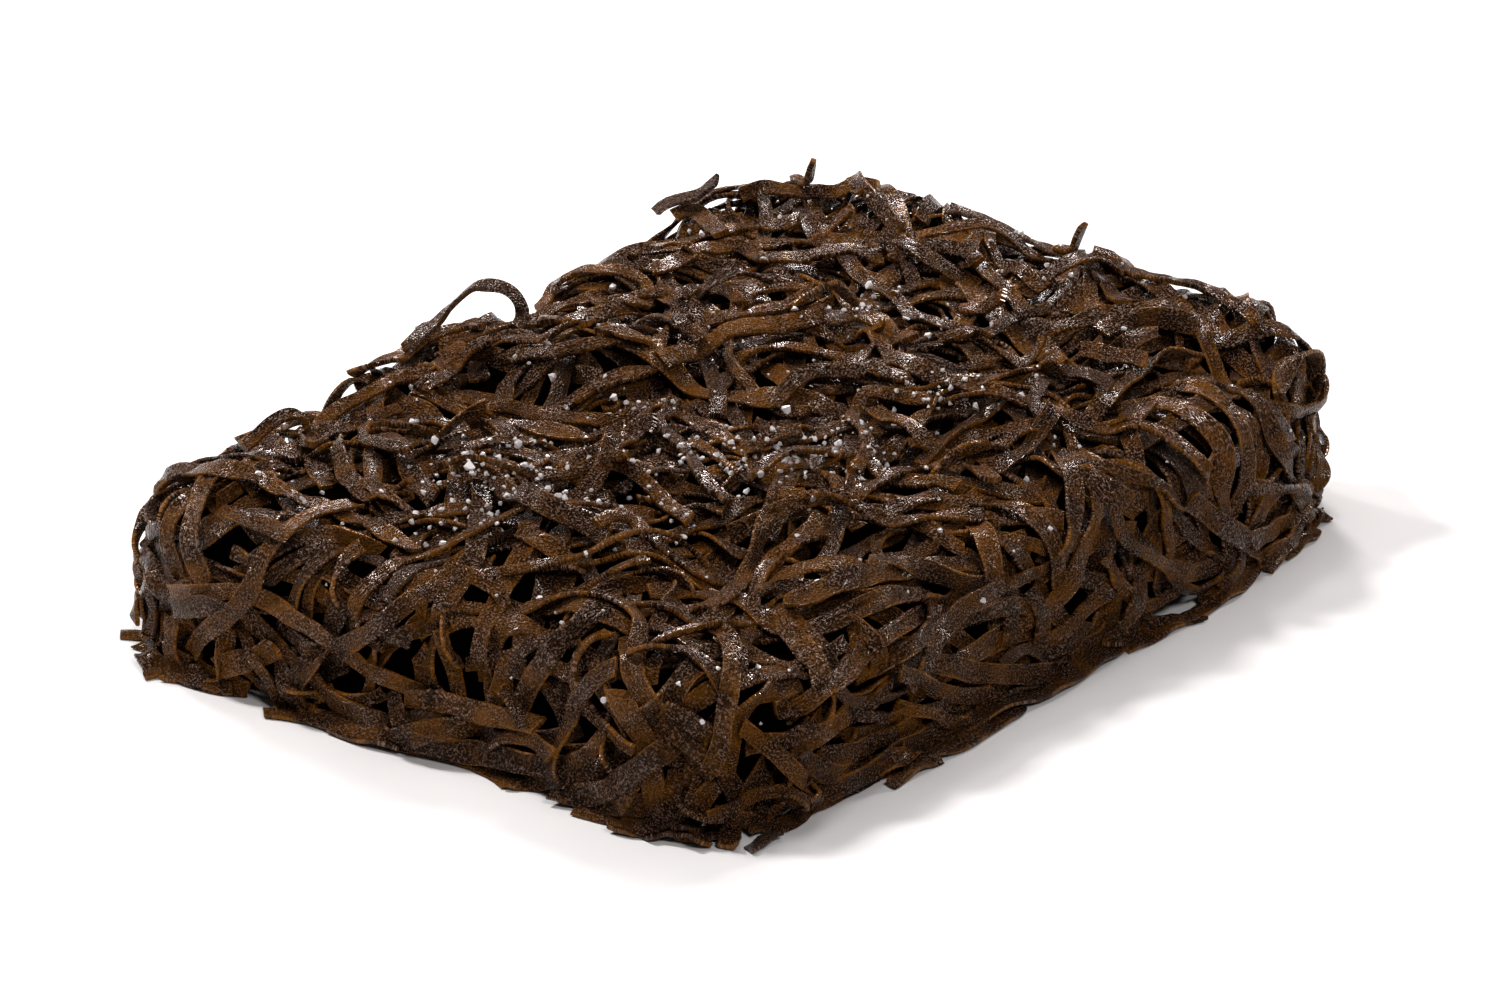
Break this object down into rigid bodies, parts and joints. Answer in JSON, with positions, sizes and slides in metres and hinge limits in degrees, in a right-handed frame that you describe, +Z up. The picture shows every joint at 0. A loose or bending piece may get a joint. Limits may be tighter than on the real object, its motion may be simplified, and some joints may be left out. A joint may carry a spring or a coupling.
{
  "type": "sea spaghetti",
  "caption": "Loose heap of cut, salted sea spaghetti: dark leathery seaweed straps in a flat tangle with a rounded oblong plan, sprinkled with coarse salt",
  "frame": {"origin": "centre of the heap's bounding box in plan, on the surface it rests on", "axes": "+X along the heap's long side, +Y along its short side, +Z up; the picture looks at it along +X and +Y, from above"},
  "size_m": [0.2966, 0.2248, 0.0709],
  "materials": {
    "seaweed": "damp leathery seaweed, dark olive brown with an amber edge glow, wrinkled, with a satin sheen",
    "salt": "clear to milky coarse salt crystals"
  },
  "bodies": {
    "root": {"strap_bed": "seaweed", "strap_01": "seaweed", "strap_02": "seaweed", "strap_03": "seaweed", "strap_04": "seaweed", "strap_05": "seaweed", "strap_06": "seaweed", "strap_07": "seaweed", "strap_08": "seaweed", "strap_09": "seaweed", "strap_10": "seaweed", "strap_11": "seaweed", "strap_12": "seaweed", "strap_13": "seaweed", "strap_14": "seaweed", "strap_15": "seaweed", "strap_16": "seaweed", "strap_17": "seaweed", "strap_18": "seaweed", "strap_19": "seaweed", "strap_20": "seaweed", "strap_21": "seaweed", "strap_22": "seaweed", "strap_23": "seaweed", "strap_24": "seaweed", "strap_25": "seaweed", "strap_26": "seaweed", "strap_27": "seaweed", "strap_28": "seaweed", "strap_29": "seaweed", "strap_30": "seaweed", "strap_31": "seaweed", "strap_32": "seaweed", "strap_33": "seaweed", "strap_34": "seaweed", "strap_35": "seaweed", "strap_36": "seaweed", "strap_37": "seaweed", "strap_38": "seaweed", "strap_39": "seaweed", "strap_40": "seaweed", "strap_41": "seaweed", "strap_42": "seaweed", "strap_43": "seaweed", "strap_44": "seaweed", "strap_45": "seaweed", "salt_01": "salt", "salt_02": "salt", "salt_03": "salt", "salt_04": "salt", "salt_05": "salt", "salt_06": "salt", "salt_07": "salt", "salt_08": "salt", "salt_09": "salt", "salt_10": "salt", "salt_11": "salt", "salt_12": "salt", "salt_13": "salt", "salt_14": "salt"}
  },
  "joints": []
}
